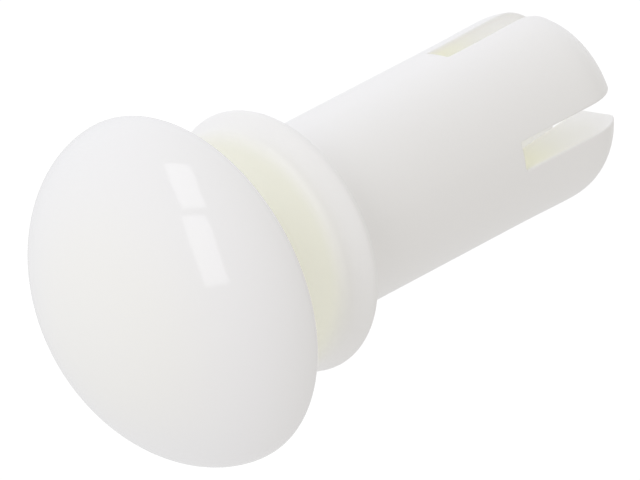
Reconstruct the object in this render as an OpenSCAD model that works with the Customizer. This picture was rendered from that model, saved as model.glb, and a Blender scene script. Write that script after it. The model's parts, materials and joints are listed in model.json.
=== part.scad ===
// Push-in wall anchor of the two-part, drive-pin kind, in natural nylon.
// A domed drive pin sits part-way into a sleeve with a split end. Pushing the pin home
// spreads the sleeve's legs behind the wall. The axis is Y: the head faces -Y, and the
// legs point along +Y, into the wall. The origin is on the axis, in the plane of the
// collar's rear face, which bears on the wall. All sizes are in millimetres.

/* [Sleeve] */
// Outside diameter of the barrel, which is the size of the hole in the wall
shank_d = 4.0; // [4.0:0.1:4.4]
// Length of the sleeve from the bearing face to the tips of the legs
shank_len = 8.05; // [7.9:0.05:8.8]
// Diameter of the collar at its widest, near its bearing face
collar_d = 5.6; // [5.4:0.1:6.0]
// Diameter of the collar at its front face
collar_front_d = 5.2; // [4.9:0.1:5.4]
// Thickness of the collar
collar_t = 0.9; // [0.8:0.05:1.0]
// Diameter of the hole that guides the drive pin
bore_d = 2.1; // [2.1:0.02:2.2]

/* [Legs] */
// Distance from the bearing face to the closed end of the slots
slot_root = 5.05; // [4.9:0.05:5.2]
// Width of the two crossed slots
slot_w = 0.6; // [0.5:0.02:0.7]
// Turn of the slots about the axis, from +X towards +Z, in degrees
slot_clock = 15; // [0:1:44]
// Half angle at which the hole closes in between the legs, in degrees
wedge_angle = 8; // [6:0.5:8]
// Amount by which the legs stand proud of the barrel near their tips
leg_swell = 0.02; // [0:0.01:0.06]
// Radius of the rounding from the legs' sides to their flat ends
tip_round = 1.1; // [1.0:0.05:1.4]
// Length of that rounding along the axis
tip_round_len = 0.9; // [0.6:0.05:0.95]

/* [Drive pin] */
// Diameter of the domed head
head_d = 7.4; // [7.0:0.1:7.8]
// Height of the dome above the head's widest plane
dome_h = 2.3; // [2.0:0.05:2.4]
// Fullness of the dome's outline: 2 is an ellipse, and less is more pointed
dome_fullness = 1.88; // [1.7:0.02:2.2]
// Radius of the rounding from the head's widest plane to its underside
head_edge_round = 0.2; // [0.1:0.05:0.3]
// Distance that the pin still has to travel before its head meets the collar
pin_travel = 1.8; // [1.6:0.1:1.9]
// Diameter of the pin's shaft
pin_d = 2.0; // [1.96:0.01:2.0]
// Distance from the shaft's shoulder to the closed end of the slots, before driving
shoulder_gap = 0.6; // [0.6:0.1:0.9]
// Half angle of the pin's nose, in degrees
nose_angle = 25; // [20:1:30]

/* [Detent] */
// Distance from the bearing face to the pin's detent ring, before driving
ring_at = 1.8; // [1.5:0.1:2.2]
// Length of the detent ring
ring_len = 0.4; // [0.3:0.05:0.4]
// Length of each groove that the ring rests in
groove_len = 0.6; // [0.5:0.05:0.7]
// Depth of each groove
groove_depth = 0.1; // [0.05:0.01:0.15]

/* [Hidden] */
$fn = 96;

nylon = [0.93, 0.93, 0.90];
nylon_shaded = [0.89, 0.89, 0.84];

shank_r = shank_d / 2;
bore_r = bore_d / 2;
pin_r = pin_d / 2;
head_r = head_d / 2;
collar_r = collar_d / 2;
collar_front_r = collar_front_d / 2;

// Steps along a rounded edge, and along the dome
arc_steps = 6;
dome_steps = 24;

collar_rear_round = 0.25;
collar_front_round = 0.25;
mouth_chamfer = 0.15;
pin_fillet = 0.1;

// Clearance that the detent ring keeps where it passes through the bore
ring_clearance = 0.01;
ring_r = bore_r - ring_clearance;

head_under = -collar_t - pin_travel;
head_widest = head_under - head_edge_round;
shoulder = slot_root - shoulder_gap;
nose_flat_r = 0.4;
nose_end = shoulder + (pin_r - nose_flat_r) / tan(nose_angle);
leg_round_start = shank_len - tip_round_len;
bore_tip_r = bore_r - (shank_len - slot_root) * tan(wedge_angle);

// Points on a quarter-circle or less, about a centre, from one angle to another
function arc(centre, r, from, to) =
    [for (i = [0:arc_steps]) let (a = from + (to - from) * i / arc_steps)
        centre + r * [cos(a), sin(a)]];

// A groove or a ring in a side of radius r: a step to radius r_out with sloped ends
function step_out(r, r_out, middle, len) =
    let (slope = abs(r_out - r), half = len / 2)
    [[r, middle - half], [r_out, middle - half + slope],
     [r_out, middle + half - slope], [r, middle + half]];

// The dome's outline, from its crown to just short of the head's widest plane
function dome_outline() =
    [for (i = [dome_steps:-1:1]) let (q = 90 * i / dome_steps)
        [head_r * pow(cos(q), 2 / dome_fullness),
         head_widest - dome_h * pow(sin(q), 2 / dome_fullness)]];

// Turns an outline of [radius, distance along +Y] about the Y axis
module turned(outline) {
    rotate([-90, 0, 0]) rotate_extrude() polygon(outline);
}

// Domed head, shaft, detent ring and tapered nose, moulded in one piece
module drive_pin() {
    rim = arc([head_r - head_edge_round, head_widest], head_edge_round, 0, 90);
    fillet = arc([pin_r + pin_fillet, head_under + pin_fillet], pin_fillet, 270, 180);
    ring = step_out(pin_r, ring_r, ring_at, ring_len);
    nose = [[pin_r, shoulder], [nose_flat_r, nose_end], [0, nose_end]];
    color(nylon) turned(concat(dome_outline(), rim, fillet, ring, nose));
}

// Collar and barrel, with the guide hole and its two detent grooves
module sleeve() {
    hole = concat(
        [[bore_r + mouth_chamfer, -collar_t], [bore_r, -collar_t + mouth_chamfer]],
        step_out(bore_r, bore_r + groove_depth, ring_at, groove_len),
        step_out(bore_r, bore_r + groove_depth, ring_at + pin_travel, groove_len),
        [[bore_r, slot_root]]);
    outside = concat(
        [[shank_r, slot_root], [shank_r, 0]],
        arc([collar_r - collar_rear_round, -collar_rear_round], collar_rear_round, 90, 0),
        arc([collar_front_r - collar_front_round, -collar_t + collar_front_round],
            collar_front_round, 0, -90));
    color(nylon_shaded) turned(concat(hole, outside));
}

// One leg, a quarter of the split end. Its inside closes in towards the tip.
module leg(number) {
    outline = concat(
        [[bore_tip_r, shank_len], [bore_r, slot_root], [shank_r, slot_root]],
        arc([shank_r + leg_swell - tip_round, leg_round_start], tip_round,
            0, asin(tip_round_len / tip_round)));
    color(nylon) rotate([0, -slot_clock - 90 * (number - 1), 0]) intersection() {
        turned(outline);
        translate([slot_w / 2, slot_root, slot_w / 2])
            cube([shank_d, shank_len - slot_root, shank_d]);
    }
}

drive_pin();
sleeve();
leg(1);  // leg_1
leg(2);  // leg_2
leg(3);  // leg_3
leg(4);  // leg_4
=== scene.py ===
"""Looks of a push-in wall anchor in natural nylon: a glossy domed drive pin in a satin split sleeve.

The CAD frame gives every place. Lengths here are in millimetres until a point is made, and the
axis of the anchor is Y: the head faces -Y and the legs point along +Y.
"""

import json
import math

import bmesh
import bpy
from mathutils import Matrix, Vector


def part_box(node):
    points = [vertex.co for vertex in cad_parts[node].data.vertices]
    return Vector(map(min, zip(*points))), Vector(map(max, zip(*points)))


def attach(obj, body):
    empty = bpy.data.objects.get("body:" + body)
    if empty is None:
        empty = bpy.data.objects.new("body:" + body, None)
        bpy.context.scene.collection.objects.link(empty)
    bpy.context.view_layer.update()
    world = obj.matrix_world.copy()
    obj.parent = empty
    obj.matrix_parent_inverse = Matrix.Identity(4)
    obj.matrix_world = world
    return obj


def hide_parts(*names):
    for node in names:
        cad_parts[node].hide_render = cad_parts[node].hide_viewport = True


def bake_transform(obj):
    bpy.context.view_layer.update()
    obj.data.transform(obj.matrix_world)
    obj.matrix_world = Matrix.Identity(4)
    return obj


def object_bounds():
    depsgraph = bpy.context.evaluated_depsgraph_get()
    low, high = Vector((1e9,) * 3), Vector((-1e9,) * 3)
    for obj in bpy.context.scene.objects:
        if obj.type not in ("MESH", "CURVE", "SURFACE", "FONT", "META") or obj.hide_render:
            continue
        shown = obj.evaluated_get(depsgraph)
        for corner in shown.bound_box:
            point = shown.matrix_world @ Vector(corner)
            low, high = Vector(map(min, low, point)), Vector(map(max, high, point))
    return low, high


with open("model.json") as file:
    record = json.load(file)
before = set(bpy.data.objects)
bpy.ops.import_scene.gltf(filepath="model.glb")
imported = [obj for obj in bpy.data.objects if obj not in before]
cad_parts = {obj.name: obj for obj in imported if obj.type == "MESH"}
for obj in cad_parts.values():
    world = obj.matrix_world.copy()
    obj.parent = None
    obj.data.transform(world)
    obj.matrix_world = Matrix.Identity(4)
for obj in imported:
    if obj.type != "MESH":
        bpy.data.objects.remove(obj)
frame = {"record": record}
cad_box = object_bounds()

MM = 0.001


def node_reach(node):
    """A node's largest radius, and its lowest and highest distance along the axis, in millimetres."""
    low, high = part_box(node)
    return high[0] / MM, low[1] / MM, high[1] / MM


# Sizes that the frame gives
HEAD_R, CROWN, NOSE_END = node_reach("drive_pin")
COLLAR_R, COLLAR_FRONT, SLOT_ROOT = node_reach("sleeve")
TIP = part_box("leg_1")[1][1] / MM
SHANK_R = frame["record"]["mounts"][0]["dims"]["r_mm"]

# Drive pin
DOME_H = 2.3
DOME_POWER = 0.56
PIN_R = 1.0
PIN_FILLET = 0.1
SHOULDER_SOFT = 0.04
NOSE_R = 0.4
NOSE_LENGTH = 1.29
NOSE_SOFT = 0.02
RING_AT = 1.8
RING_HALF = 0.2
RING_RISE = 0.04
PIN_TRAVEL = 1.8

# A hair less than the CAD head's 0.2, so that the driven head stops just short of the collar
HEAD_EDGE_R = 0.195

# Sleeve
COLLAR_CREST_R = 2.6
COLLAR_REAR_ROUND = 0.25
COLLAR_FRONT_ROUND = 0.25
BORE_R = 1.05
MOUTH_CHAMFER = 0.15
GROOVE_HALF = 0.3
GROOVE_DEPTH = 0.1

# Slots and legs
SLOT_CLOCK = math.radians(15)
SLOT_HALF = 0.3
LEG_SWELL = 0.02
TIP_ROUND = 1.1
TIP_ROUND_LEN = 0.9
BORE_TIP_R = 0.63

# Where the legs are cut from the barrel, where they stop being straight, and over what length they bend
SEAM = SLOT_ROOT + 0.3
STRAIGHT_END = SEAM + 0.22

# Subdivision cage: distance of a supporting loop from each edge, places of further loops, and steps
BARREL_LOOPS = (3.1, 1.5, 0.5)
ROOT_LOOP = 0.6
FRONT_LOOP_R = 2.0
EDGE = 0.08
BORE_EDGE = 0.04
LEG_STEPS = 12
WALL_STEPS = 4
SUBDIVISIONS = 2


def polar(radius, azimuth, y):
    """A point at a radius from the axis, with azimuths from +X towards +Z."""
    return Vector((radius * math.cos(azimuth), y, radius * math.sin(azimuth))) * MM


def arc(centre, radius, start, end, steps):
    """Outline points on an arc, with angles in degrees."""
    turns = [math.radians(start + (end - start) * i / steps) for i in range(steps + 1)]
    return [(centre[0] + radius * math.cos(t), centre[1] + radius * math.sin(t)) for t in turns]


def even(start, end, steps):
    return [start + (end - start) * i / steps for i in range(steps + 1)]


def as_object(mesh, name):
    """Makes a smooth-shaded object of a bmesh."""
    bmesh.ops.recalc_face_normals(mesh, faces=mesh.faces)
    for face in mesh.faces:
        face.smooth = True
    data = bpy.data.meshes.new(name)
    mesh.to_mesh(data)
    mesh.free()
    piece = bpy.data.objects.new(name, data)
    bpy.context.scene.collection.objects.link(piece)
    return piece


# ---------------------------------------------------------------- drive pin

def dome_outline(widest, steps=56):
    """From the crown to just short of the head's widest plane."""
    turns = [math.radians(90) * i / steps for i in range(steps)]
    return [(HEAD_R * math.sin(t), widest - DOME_H * math.cos(t) ** (2 * DOME_POWER)) for t in turns]


def pin_outline():
    """The pin's outline from its crown to the middle of its nose."""
    widest = CROWN + DOME_H
    under = widest + HEAD_EDGE_R
    shoulder = NOSE_END - NOSE_LENGTH
    ring = [
        (PIN_R, RING_AT - RING_HALF),
        (PIN_R + RING_RISE, RING_AT - RING_HALF + RING_RISE),
        (PIN_R + RING_RISE, RING_AT + RING_HALF - RING_RISE),
        (PIN_R, RING_AT + RING_HALF),
    ]
    return (
        dome_outline(widest)
        + arc((HEAD_R - HEAD_EDGE_R, widest), HEAD_EDGE_R, 0, 90, 10)
        + [(r, under) for r in even(HEAD_R - 2 * HEAD_EDGE_R, PIN_R + 2 * PIN_FILLET, 8)]
        + arc((PIN_R + PIN_FILLET, under + PIN_FILLET), PIN_FILLET, 270, 180, 6)
        + [(PIN_R, y) for y in even(under + 3 * PIN_FILLET, RING_AT - 2 * RING_HALF, 5)]
        + ring
        + [(PIN_R, y) for y in even(RING_AT + 2 * RING_HALF, shoulder - RING_HALF, 4)]
        + [(PIN_R, shoulder - SHOULDER_SOFT), (PIN_R - SHOULDER_SOFT / 10, shoulder)]
        + [(PIN_R - SHOULDER_SOFT / 2, shoulder + SHOULDER_SOFT)]
        + [(NOSE_R + 1.5 * NOSE_SOFT, NOSE_END - 3.5 * NOSE_SOFT), (NOSE_R, NOSE_END - NOSE_SOFT)]
        + [(NOSE_R - 2.5 * NOSE_SOFT, NOSE_END), (0, NOSE_END)]
    )


def turned(name, outline, segments):
    """Turns an outline, which starts and ends on the axis, about the axis."""
    mesh = bmesh.new()
    azimuths = [2 * math.pi * i / segments for i in range(segments)]
    first = mesh.verts.new(polar(0, 0, outline[0][1]))
    last = mesh.verts.new(polar(0, 0, outline[-1][1]))
    rings = [[mesh.verts.new(polar(r, a, y)) for a in azimuths] for r, y in outline[1:-1]]
    for i in range(segments):
        j = (i + 1) % segments
        mesh.faces.new((first, rings[0][i], rings[0][j]))
        mesh.faces.new((last, rings[-1][j], rings[-1][i]))
        for above, below in zip(rings, rings[1:]):
            mesh.faces.new((above[i], below[i], below[j], above[j]))
    return as_object(mesh, name)


# ---------------------------------------------------------------- sleeve and legs

SLOT_OFFSETS = [-SLOT_HALF, EDGE - SLOT_HALF, -SLOT_HALF / 3, SLOT_HALF / 3, SLOT_HALF - EDGE, SLOT_HALF]
SLOT_COLUMNS = len(SLOT_OFFSETS)
COLUMNS = SLOT_COLUMNS + LEG_STEPS + 1


def slot_middle(number):
    return SLOT_CLOCK + number * math.pi / 2


def ring_azimuths(radius, edge):
    """Azimuths of a ring's columns at a radius: across each slot, then round the leg beyond it."""
    azimuths = []
    for number in range(4):
        middle = slot_middle(number)
        across = [middle + math.asin(v / radius) for v in SLOT_OFFSETS]
        leg_end = slot_middle(number + 1) + math.asin(SLOT_OFFSETS[0] / radius)
        azimuths += across + even(across[-1] + edge / radius, leg_end - edge / radius, LEG_STEPS)
    return azimuths


def wall_point(number, offset, outer, inner, share, y):
    """A point beside a slot's middle plane, at a share of the way from the outside to the bore."""
    outside = math.sqrt(outer**2 - offset**2)
    inside = math.sqrt(inner**2 - offset**2)
    along = outside + (inside - outside) * share
    return polar(math.hypot(along, offset), slot_middle(number) + math.atan2(offset, along), y)


def wall_line(mesh, number, offset, outer, inner, y):
    """New vertices beside a slot's middle plane, between its outside and its bore corners."""
    shares = wall_shares(outer, inner)[1:-1]
    return [mesh.verts.new(wall_point(number, offset, outer, inner, share, y)) for share in shares]


def wall_shares(outer, inner):
    """Shares of the way from the outside to the bore, with a supporting loop near each end."""
    length = outer - inner
    return [0] + even(EDGE / length, 1 - BORE_EDGE / length, WALL_STEPS) + [1]


def leg_radius(y):
    """The leg's outer radius: straight, then slightly swollen, then rounded towards its end."""
    round_start = TIP - TIP_ROUND_LEN
    if y > round_start:
        return SHANK_R + LEG_SWELL - TIP_ROUND + math.sqrt(TIP_ROUND**2 - (y - round_start) ** 2)
    t = min(max((y - STRAIGHT_END) / (round_start - STRAIGHT_END), 0), 1)
    return SHANK_R + LEG_SWELL * t * t * (3 - 2 * t)


def leg_bore_radius(y):
    """The bore closes in towards the tip, so that the pin's nose wedges the legs apart."""
    t = max((y - STRAIGHT_END) / (TIP - STRAIGHT_END), 0)
    return BORE_R + (BORE_TIP_R - BORE_R) * t


def sleeve_rings():
    """Rings from the outer root down, round the collar and up the bore.

    Each has its radius and place, and the radius and edge distance that set its columns.
    """
    groove_radii = [(BORE_R, -GROOVE_HALF), (BORE_R + GROOVE_DEPTH, GROOVE_DEPTH - GROOVE_HALF)]
    groove = groove_radii + [(r, -y) for r, y in reversed(groove_radii)]
    rear_r = COLLAR_R - COLLAR_REAR_ROUND
    front_r = COLLAR_CREST_R - COLLAR_FRONT_ROUND
    side_y = (COLLAR_FRONT + COLLAR_FRONT_ROUND - COLLAR_REAR_ROUND) / 2
    barrel = (SLOT_ROOT, SLOT_ROOT - EDGE, SLOT_ROOT - ROOT_LOOP, *BARREL_LOOPS, EDGE, 0)
    outside = (
        [(SHANK_R, y) for y in barrel]
        + [(SHANK_R + EDGE, 0), ((SHANK_R + rear_r) / 2, 0), (rear_r - EDGE, 0)]
        + arc((rear_r, -COLLAR_REAR_ROUND), COLLAR_REAR_ROUND, 90, 0, 5)
        + [((COLLAR_R + COLLAR_CREST_R) / 2, side_y)]
        + arc((front_r, COLLAR_FRONT + COLLAR_FRONT_ROUND), COLLAR_FRONT_ROUND, 0, -90, 5)
        + [(front_r - EDGE, COLLAR_FRONT), (FRONT_LOOP_R, COLLAR_FRONT)]
    )
    inside = (
        [(BORE_R + MOUTH_CHAMFER + 2 * EDGE, COLLAR_FRONT), (BORE_R + MOUTH_CHAMFER, COLLAR_FRONT)]
        + [(BORE_R, COLLAR_FRONT + MOUTH_CHAMFER), (BORE_R, COLLAR_FRONT + 2 * MOUTH_CHAMFER)]
        + [(r, RING_AT + y) for r, y in groove]
        + [(r, RING_AT + PIN_TRAVEL + y) for r, y in groove]
        + [(BORE_R, SLOT_ROOT - ROOT_LOOP), (BORE_R, SLOT_ROOT - EDGE), (BORE_R, SLOT_ROOT)]
    )
    return [(r, y, SHANK_R, EDGE) for r, y in outside] + [(r, y, BORE_R, BORE_EDGE) for r, y in inside]


def leg_rows():
    """Distances of the leg's cross-sections along the axis, beyond the root."""
    round_start = TIP - TIP_ROUND_LEN
    middle = [SLOT_ROOT + EDGE, SEAM, STRAIGHT_END] + even(STRAIGHT_END, round_start, 4)[1:]
    rounding = [round_start + TIP_ROUND * math.sin(math.radians(a)) for a in (12, 24, 36, 45)]
    return middle + rounding + [TIP - EDGE, TIP]


def cage():
    """One closed cage of quads for the whole sleeve, with its slots and legs."""
    mesh = bmesh.new()
    rings = [
        [mesh.verts.new(polar(r, a, y)) for a in ring_azimuths(reference, edge)]
        for r, y, reference, edge in sleeve_rings()
    ]
    around = len(rings[0])
    for near, far in zip(rings, rings[1:]):
        for i in range(around):
            mesh.faces.new((near[i], near[(i + 1) % around], far[(i + 1) % around], far[i]))

    shares = wall_shares(SHANK_R, BORE_R)
    floors = []
    for number in range(4):
        floor = []
        for j, offset in enumerate(SLOT_OFFSETS):
            column = number * COLUMNS + j
            inner = wall_line(mesh, number, offset, SHANK_R, BORE_R, SLOT_ROOT)
            floor.append([rings[0][column]] + inner + [rings[-1][column]])
        for left, right in zip(floor, floor[1:]):
            for k in range(len(shares) - 1):
                mesh.faces.new((left[k], right[k], right[k + 1], left[k + 1]))
        floors.append(floor)

    for number in range(4):
        add_leg(mesh, number, rings[0], rings[-1], floors)
    return mesh


def add_leg(mesh, number, outer_root, inner_root, floors):
    """Adds the walls, the outside, the bore side and the end face of the leg beyond a slot."""
    columns = [(number * COLUMNS + SLOT_COLUMNS - 1 + i) % len(outer_root) for i in range(LEG_STEPS + 3)]
    next_slot = (number + 1) % 4

    def section(outer, far_wall, inner, near_wall):
        return outer + far_wall + inner[::-1] + near_wall[::-1]

    loop = section(
        [outer_root[c] for c in columns],
        floors[next_slot][0][1:-1],
        [inner_root[c] for c in columns],
        floors[number][-1][1:-1],
    )
    for y in leg_rows():
        outer_r, inner_r = leg_radius(y), leg_bore_radius(y)
        shares = wall_shares(outer_r, inner_r)
        outer_az, inner_az = ring_azimuths(outer_r, EDGE), ring_azimuths(inner_r, BORE_EDGE)
        outer = [mesh.verts.new(polar(outer_r, outer_az[c], y)) for c in columns]
        inner = [mesh.verts.new(polar(inner_r, inner_az[c], y)) for c in columns]
        far = wall_line(mesh, next_slot, -SLOT_HALF, outer_r, inner_r, y)
        near = wall_line(mesh, number, SLOT_HALF, outer_r, inner_r, y)
        above = section(outer, far, inner, near)
        for i in range(len(loop)):
            j = (i + 1) % len(loop)
            mesh.faces.new((loop[i], loop[j], above[j], above[i]))
        loop = above

    lines = [[outer[0]] + near + [inner[0]]]
    for a, b in list(zip(outer, inner))[1:-1]:
        lines.append([a] + [mesh.verts.new(a.co.lerp(b.co, s)) for s in shares[1:-1]] + [b])
    lines.append([outer[-1]] + far + [inner[-1]])
    for left, right in zip(lines, lines[1:]):
        for k in range(len(shares) - 1):
            mesh.faces.new((left[k], right[k], right[k + 1], left[k + 1]))


def subdivided(mesh):
    """The cage's subdivision surface, as a new bmesh."""
    source = as_object(mesh, "cage")
    modifier = source.modifiers.new("smooth", "SUBSURF")
    modifier.levels = modifier.render_levels = SUBDIVISIONS
    evaluated = source.evaluated_get(bpy.context.evaluated_depsgraph_get())
    result = bmesh.new()
    result.from_mesh(evaluated.to_mesh())
    evaluated.to_mesh_clear()
    bpy.data.objects.remove(source)
    return result


def quarter_of(face):
    """Number of the leg that a face belongs to, or None where it is part of the sleeve."""
    middle = face.calc_center_median()
    if middle.y < SEAM * MM:
        return None
    return int((math.atan2(middle.z, middle.x) - SLOT_CLOCK) % (2 * math.pi) // (math.pi / 2)) + 1


def cut_out(whole, keep, name):
    """A closed piece of the whole surface. Its caps, at the seam, meet its sides at sharp edges."""
    mesh = whole.copy()
    mesh.faces.ensure_lookup_table()
    dropped = [f for f in mesh.faces if quarter_of(f) != keep]
    bmesh.ops.delete(mesh, geom=dropped, context="FACES")
    open_edges = [e for e in mesh.edges if e.is_boundary]
    for edge in open_edges:
        edge.smooth = False
    bmesh.ops.holes_fill(mesh, edges=open_edges, sides=0)
    return as_object(mesh, name)


# ---------------------------------------------------------------- materials

# Sizes of the nylon's clouds, of the ripples in its skin and of its grain, and its refraction
CLOUD_SIZE = 2.4
RIPPLE_SIZE = 0.67
GRAIN_SIZE = 0.11
NYLON_IOR = 1.53

# Colour of the nylon where the head is thickest, how far out that reaches, and the width of its paler rim
THICK_COLOUR = (0.99, 0.988, 0.955)
THICK_R = 1.2
PALE_RIM = 0.3

# Painted light: the colour painted on the nylon where light reaches it only through more nylon, and how
# much painted glow stands for the light that still comes through
PAINTED_SOAK_COLOUR = (0.99, 0.99, 0.885)
PAINTED_SLOT_GLOW = 0.019
PAINTED_FRONT_GLOW = 0.03

# Where that painted colour and glow fade: before the slots' closed end, under the legs' skin, along the
# slots, along the collar from its front, and inwards from the collar's crest
ROOT_FADE = 0.1
SKIN_FADE = (0.02, 0.15)
DEEP_FADE = (1.6, 0.1)
FRONT_FADE = 0.5
CREST_FADE = 0.45


def new_material(name):
    material = bpy.data.materials.new(name)
    material.use_nodes = True
    tree = material.node_tree
    return material, tree, tree.nodes["Principled BSDF"]


def add(tree, kind, **settings):
    """Adds a node. A setting names an attribute, or an input where the node has no such attribute."""
    node = tree.nodes.new(kind)
    for key, value in settings.items():
        label = key.replace("_", " ").title()
        if hasattr(node, key):
            setattr(node, key, value)
        else:
            node.inputs[label].default_value = value
    return node


def combine(tree, operation, *values):
    """A math node over outputs and numbers."""
    node = add(tree, "ShaderNodeMath", operation=operation)
    for socket, value in zip(node.inputs, values):
        if isinstance(value, (int, float)):
            socket.default_value = value
        else:
            tree.links.new(value, socket)
    return node.outputs["Value"]


def fade(tree, value, start, end):
    """Changes smoothly from 0 where a value in millimetres is at the start to 1 at the end."""
    node = add(tree, "ShaderNodeMapRange", interpolation_type="SMOOTHSTEP")
    node.inputs["From Min"].default_value = start * MM
    node.inputs["From Max"].default_value = end * MM
    tree.links.new(value, node.inputs["Value"])
    return node.outputs["Result"]


def noise(tree, place, size, detail=2.0, roughness=0.5):
    """Noise with features of about a size in millimetres."""
    node = add(tree, "ShaderNodeTexNoise", scale=1 / (size * MM), detail=detail, roughness=roughness)
    tree.links.new(place, node.inputs["Vector"])
    return node.outputs["Fac"]


def mixed(tree, factor, first, second):
    """A mix of two colours, each an RGB value or an output."""
    node = add(tree, "ShaderNodeMix", data_type="RGBA")
    tree.links.new(factor, node.inputs["Factor"])
    for socket, colour in ((node.inputs["A"], first), (node.inputs["B"], second)):
        if isinstance(colour, tuple):
            socket.default_value = (*colour, 1)
        else:
            tree.links.new(colour, socket)
    return node.outputs["Result"]


def nylon(name, colour, shade, roughness, ripple, grain):
    """Natural nylon: milky with soft clouds, an uneven gloss, and a moulded skin of ripples and grain.

    The ripple and the grain are heights in millimetres.
    """
    material, tree, shader = new_material(name)
    link = tree.links.new
    place = add(tree, "ShaderNodeTexCoord").outputs["Object"]
    link(mixed(tree, noise(tree, place, CLOUD_SIZE, 3.0), colour, shade), shader.inputs["Base Color"])

    skin = noise(tree, place, RIPPLE_SIZE)
    gloss = add(tree, "ShaderNodeMapRange", to_min=roughness[0], to_max=roughness[1])
    link(skin, gloss.inputs["Value"])
    link(gloss.outputs["Result"], shader.inputs["Roughness"])

    waves = add(tree, "ShaderNodeBump", strength=1.0, distance=ripple * MM)
    link(skin, waves.inputs["Height"])
    grains = add(tree, "ShaderNodeBump", strength=1.0, distance=grain * MM)
    link(noise(tree, place, GRAIN_SIZE, 2.0, 0.6), grains.inputs["Height"])
    link(waves.outputs["Normal"], grains.inputs["Normal"])
    link(grains.outputs["Normal"], shader.inputs["Normal"])
    shader.inputs["IOR"].default_value = NYLON_IOR
    return material


def place_on_anchor(tree):
    """Distance from the axis and distance along it, in metres."""
    axes = add(tree, "ShaderNodeSeparateXYZ")
    tree.links.new(add(tree, "ShaderNodeTexCoord").outputs["Object"], axes.inputs["Vector"])
    x, y, z = axes.outputs
    square = combine(tree, "ADD", combine(tree, "MULTIPLY", x, x), combine(tree, "MULTIPLY", z, z))
    return combine(tree, "SQRT", square), y


def tint(material, factor, colour):
    """Mixes a colour over the material's own."""
    tree = material.node_tree
    base = tree.nodes["Principled BSDF"].inputs["Base Color"]
    tree.links.new(mixed(tree, factor, base.links[0].from_socket, colour), base)


def thicken(material):
    """The head is warmer in the middle, where the nylon is thick, than near its edge."""
    tree = material.node_tree
    radius = place_on_anchor(tree)[0]
    tint(material, fade(tree, radius, HEAD_R - PALE_RIM, THICK_R), THICK_COLOUR)


def paint_soaked_light(material):
    """Paints light that soaks through nylon: a yellow tint and a faint glow painted on the slots and the
    collar's front, so they are never dark.
    """
    tree = material.node_tree
    shader = tree.nodes["Principled BSDF"]
    radius, y = place_on_anchor(tree)
    beyond_root = fade(tree, y, SLOT_ROOT - ROOT_FADE, SLOT_ROOT)
    under_skin = fade(tree, radius, SHANK_R - SKIN_FADE[0], SHANK_R - SKIN_FADE[1])
    slot = combine(tree, "MULTIPLY", beyond_root, under_skin)
    near_root = fade(tree, y, SLOT_ROOT + DEEP_FADE[0], SLOT_ROOT + DEEP_FADE[1])
    deep = combine(tree, "MULTIPLY", slot, near_root)
    near_front = fade(tree, y, COLLAR_FRONT + FRONT_FADE, COLLAR_FRONT)
    inside_crest = fade(tree, radius, COLLAR_R, COLLAR_CREST_R - CREST_FADE)
    front = combine(tree, "MULTIPLY", near_front, inside_crest)
    # painted light: a yellow tint on the slots and the collar's front, standing in for light that comes
    # through the nylon and bounces there
    tint(material, combine(tree, "MAXIMUM", deep, front), PAINTED_SOAK_COLOUR)
    # painted glow: the slots and the collar's front emit a little light, though they are no lamp
    painted_slot_glow = combine(tree, "MULTIPLY", combine(tree, "ADD", slot, deep), PAINTED_SLOT_GLOW)
    glow = combine(tree, "MAXIMUM", painted_slot_glow, combine(tree, "MULTIPLY", front, PAINTED_FRONT_GLOW))
    tree.links.new(mixed(tree, glow, (0.0, 0.0, 0.0), (1.0, 1.0, 1.0)), shader.inputs["Emission Color"])
    shader.inputs["Emission Strength"].default_value = 1.0


# ---------------------------------------------------------------- build the pieces

pin = turned("drive_pin_moulding", pin_outline(), 192)
whole = subdivided(cage())
barrel = cut_out(whole, None, "sleeve_moulding")
legs = [cut_out(whole, number, f"leg_{number}_moulding") for number in range(1, 5)]
whole.free()

pin_nylon = nylon(
    "pin_nylon_gloss",
    colour=(0.99, 0.99, 0.99),
    shade=(0.98, 0.98, 0.98),
    roughness=(0.06, 0.11),
    ripple=0.004,
    grain=0.0002,
)
sleeve_nylon = nylon(
    "sleeve_nylon_satin",
    colour=(0.993, 0.990, 0.982),
    shade=(0.990, 0.988, 0.976),
    roughness=(0.34, 0.44),
    ripple=0.008,
    grain=0.003,
)
thicken(pin_nylon)
# paints a yellow tint and a faint glow into the sleeve's slots and collar front, standing in for light
# through the nylon
paint_soaked_light(sleeve_nylon)

pin.data.materials.append(pin_nylon)
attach(pin, "drive_pin")
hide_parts("drive_pin")

barrel.data.materials.append(sleeve_nylon)
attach(barrel, "sleeve")
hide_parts("sleeve")

for number, leg in enumerate(legs, start=1):
    leg.data.materials.append(sleeve_nylon)
    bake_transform(leg)
    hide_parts(f"leg_{number}")


# ---------------------------------------------------------------- floor, light and camera

# Half the side of the floor, in metres, and the brightness of the white that only the camera sees
FLOOR_HALF = 2.0
CAMERA_WHITE = 1.05

# Where the camera looks from, in degrees, its lens and its distance, and how far it is moved to the
# right and down to frame the anchor
CAMERA_AZIMUTH = 43.73
CAMERA_ELEVATION = 30.31
LENS = 847
CAMERA_DISTANCE = 300.125
CAMERA_RIGHT = 0.766
CAMERA_DOWN = 0.053


def direction(azimuth, elevation):
    """The direction in which a viewer stands who looks from that azimuth and elevation, in degrees."""
    a, e = math.radians(azimuth), math.radians(elevation)
    return Vector((math.sin(a) * math.cos(e), -math.cos(a) * math.cos(e), math.sin(e)))


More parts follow.
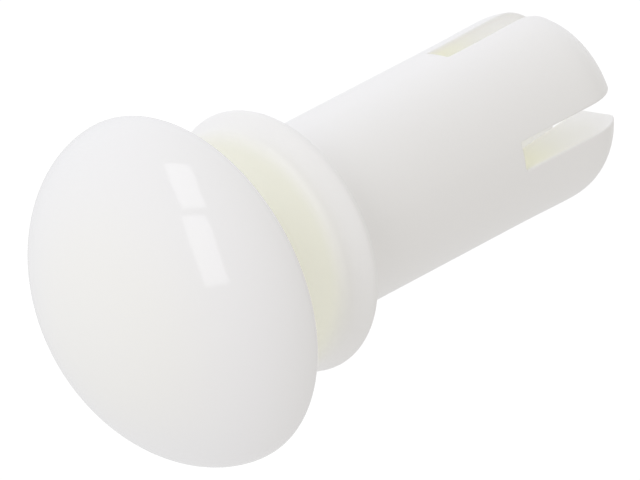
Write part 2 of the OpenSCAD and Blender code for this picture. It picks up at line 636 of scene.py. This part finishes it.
def floor():
    """A plain white table that only the camera sees, so that it throws no colour back."""
    mesh = bpy.data.meshes.new("floor")
    signs = ((-1, -1), (1, -1), (1, 1), (-1, 1))
    corners = [(x * FLOOR_HALF, y * FLOOR_HALF, cad_box[0][2]) for x, y in signs]
    mesh.from_pydata(corners, [], [(0, 1, 2, 3)])
    piece = bpy.data.objects.new("floor", mesh)
    bpy.context.scene.collection.objects.link(piece)
    material = bpy.data.materials.new("white_table")
    material.use_nodes = True
    tree = material.node_tree
    tree.nodes.clear()
    glow = add(tree, "ShaderNodeEmission", strength=CAMERA_WHITE)
    clear = add(tree, "ShaderNodeBsdfTransparent")
    side = add(tree, "ShaderNodeNewGeometry")
    mix = add(tree, "ShaderNodeMixShader")
    out = add(tree, "ShaderNodeOutputMaterial")
    tree.links.new(side.outputs["Backfacing"], mix.inputs[0])
    tree.links.new(glow.outputs[0], mix.inputs[1])
    tree.links.new(clear.outputs[0], mix.inputs[2])
    tree.links.new(mix.outputs[0], out.inputs["Surface"])
    mesh.materials.append(material)
    piece.visible_diffuse = False
    piece.visible_glossy = False
    piece.visible_transmission = False
    piece.visible_shadow = False


# Light that comes from all round, and what each axis adds to it in its own direction, as RGB
ALL_ROUND = (0.732, 0.725, 0.722)
TOWARDS_X = (-0.095, -0.105, -0.12)
TOWARDS_Y = (-0.02, -0.02, -0.03)
TOWARDS_Z = (-0.03, -0.03, -0.035)


def surroundings():
    """A soft white tent. Its colour changes evenly with direction, and the camera sees plain white."""
    world = bpy.data.worlds.new("tent")
    bpy.context.scene.world = world
    world.use_nodes = True
    tree = world.node_tree
    tree.nodes.clear()
    link = tree.links.new
    place = add(tree, "ShaderNodeTexCoord")
    colour = add(tree, "ShaderNodeCombineXYZ")
    for i in range(3):
        lean = add(tree, "ShaderNodeVectorMath", operation="DOT_PRODUCT")
        lean.inputs[1].default_value = (TOWARDS_X[i], TOWARDS_Y[i], TOWARDS_Z[i])
        total = add(tree, "ShaderNodeMath", operation="ADD")
        total.inputs[1].default_value = ALL_ROUND[i]
        link(place.outputs["Generated"], lean.inputs[0])
        link(lean.outputs["Value"], total.inputs[0])
        link(total.outputs[0], colour.inputs[i])
    tent = add(tree, "ShaderNodeBackground")
    white = add(tree, "ShaderNodeBackground", strength=CAMERA_WHITE)
    white.inputs["Color"].default_value = (1, 1, 1, 1)
    seen = add(tree, "ShaderNodeLightPath")
    mix = add(tree, "ShaderNodeMixShader")
    out = add(tree, "ShaderNodeOutputWorld")
    link(colour.outputs[0], tent.inputs["Color"])
    link(seen.outputs["Is Camera Ray"], mix.inputs[0])
    link(tent.outputs[0], mix.inputs[1])
    link(white.outputs[0], mix.inputs[2])
    link(mix.outputs[0], out.inputs["Surface"])


def lamp(name, start, end, width, radiance, colour, mirrored=True, distance=0.35):
    """A rectangular lamp facing the anchor, between two directions as it is seen from there.

    Its width is in degrees and its distance in metres. One that isn't mirrored shows in no reflection.
    """
    middle = (start + end).normalized()
    data = bpy.data.lights.new(name, "AREA")
    data.shape = "RECTANGLE"
    data.size = 2 * distance * math.tan(start.angle(end) / 2)
    data.size_y = 2 * distance * math.tan(math.radians(width) / 2)
    data.energy = radiance * math.pi * data.size * data.size_y
    data.color = colour
    piece = bpy.data.objects.new(name, data)
    piece.visible_camera = False
    piece.visible_glossy = mirrored
    along = (end - start).normalized()
    piece.matrix_world = basis(along, middle.cross(along), middle, middle * distance)
    bpy.context.scene.collection.objects.link(piece)


def basis(x, y, z, place):
    """A matrix from three perpendicular directions and a place."""
    matrix = Matrix((x, y, z)).transposed().to_4x4()
    matrix.translation = place
    return matrix


def camera():
    back = direction(CAMERA_AZIMUTH, CAMERA_ELEVATION)
    right = Vector((-back.y, back.x, 0)).normalized()
    up = back.cross(right)
    data = bpy.data.cameras.new("camera")
    data.lens = LENS
    data.clip_start, data.clip_end = 0.01, 3.0
    eye = bpy.data.objects.new("camera", data)
    place = (back * CAMERA_DISTANCE + right * CAMERA_RIGHT - up * CAMERA_DOWN) * MM
    eye.matrix_world = basis(right, up, back, place)
    bpy.context.scene.collection.objects.link(eye)
    bpy.context.scene.camera = eye


floor()
surroundings()
lamp("strip_high", direction(-57, 65), direction(2, 51), 18, 1.5, (0.96, 0.96, 1.0))
lamp("strip_low", direction(4, 46), direction(25, 12.5), 18, 1.5, (0.96, 0.96, 1.0))
lamp("softbox", direction(-162, 20), direction(-116, 20), 45, 0.95, (0.77, 0.79, 1.0), mirrored=False)
camera()
bpy.context.scene.view_settings.view_transform = "Standard"
light_paths = bpy.context.scene.cycles
light_paths.max_bounces = 24
light_paths.diffuse_bounces = 20
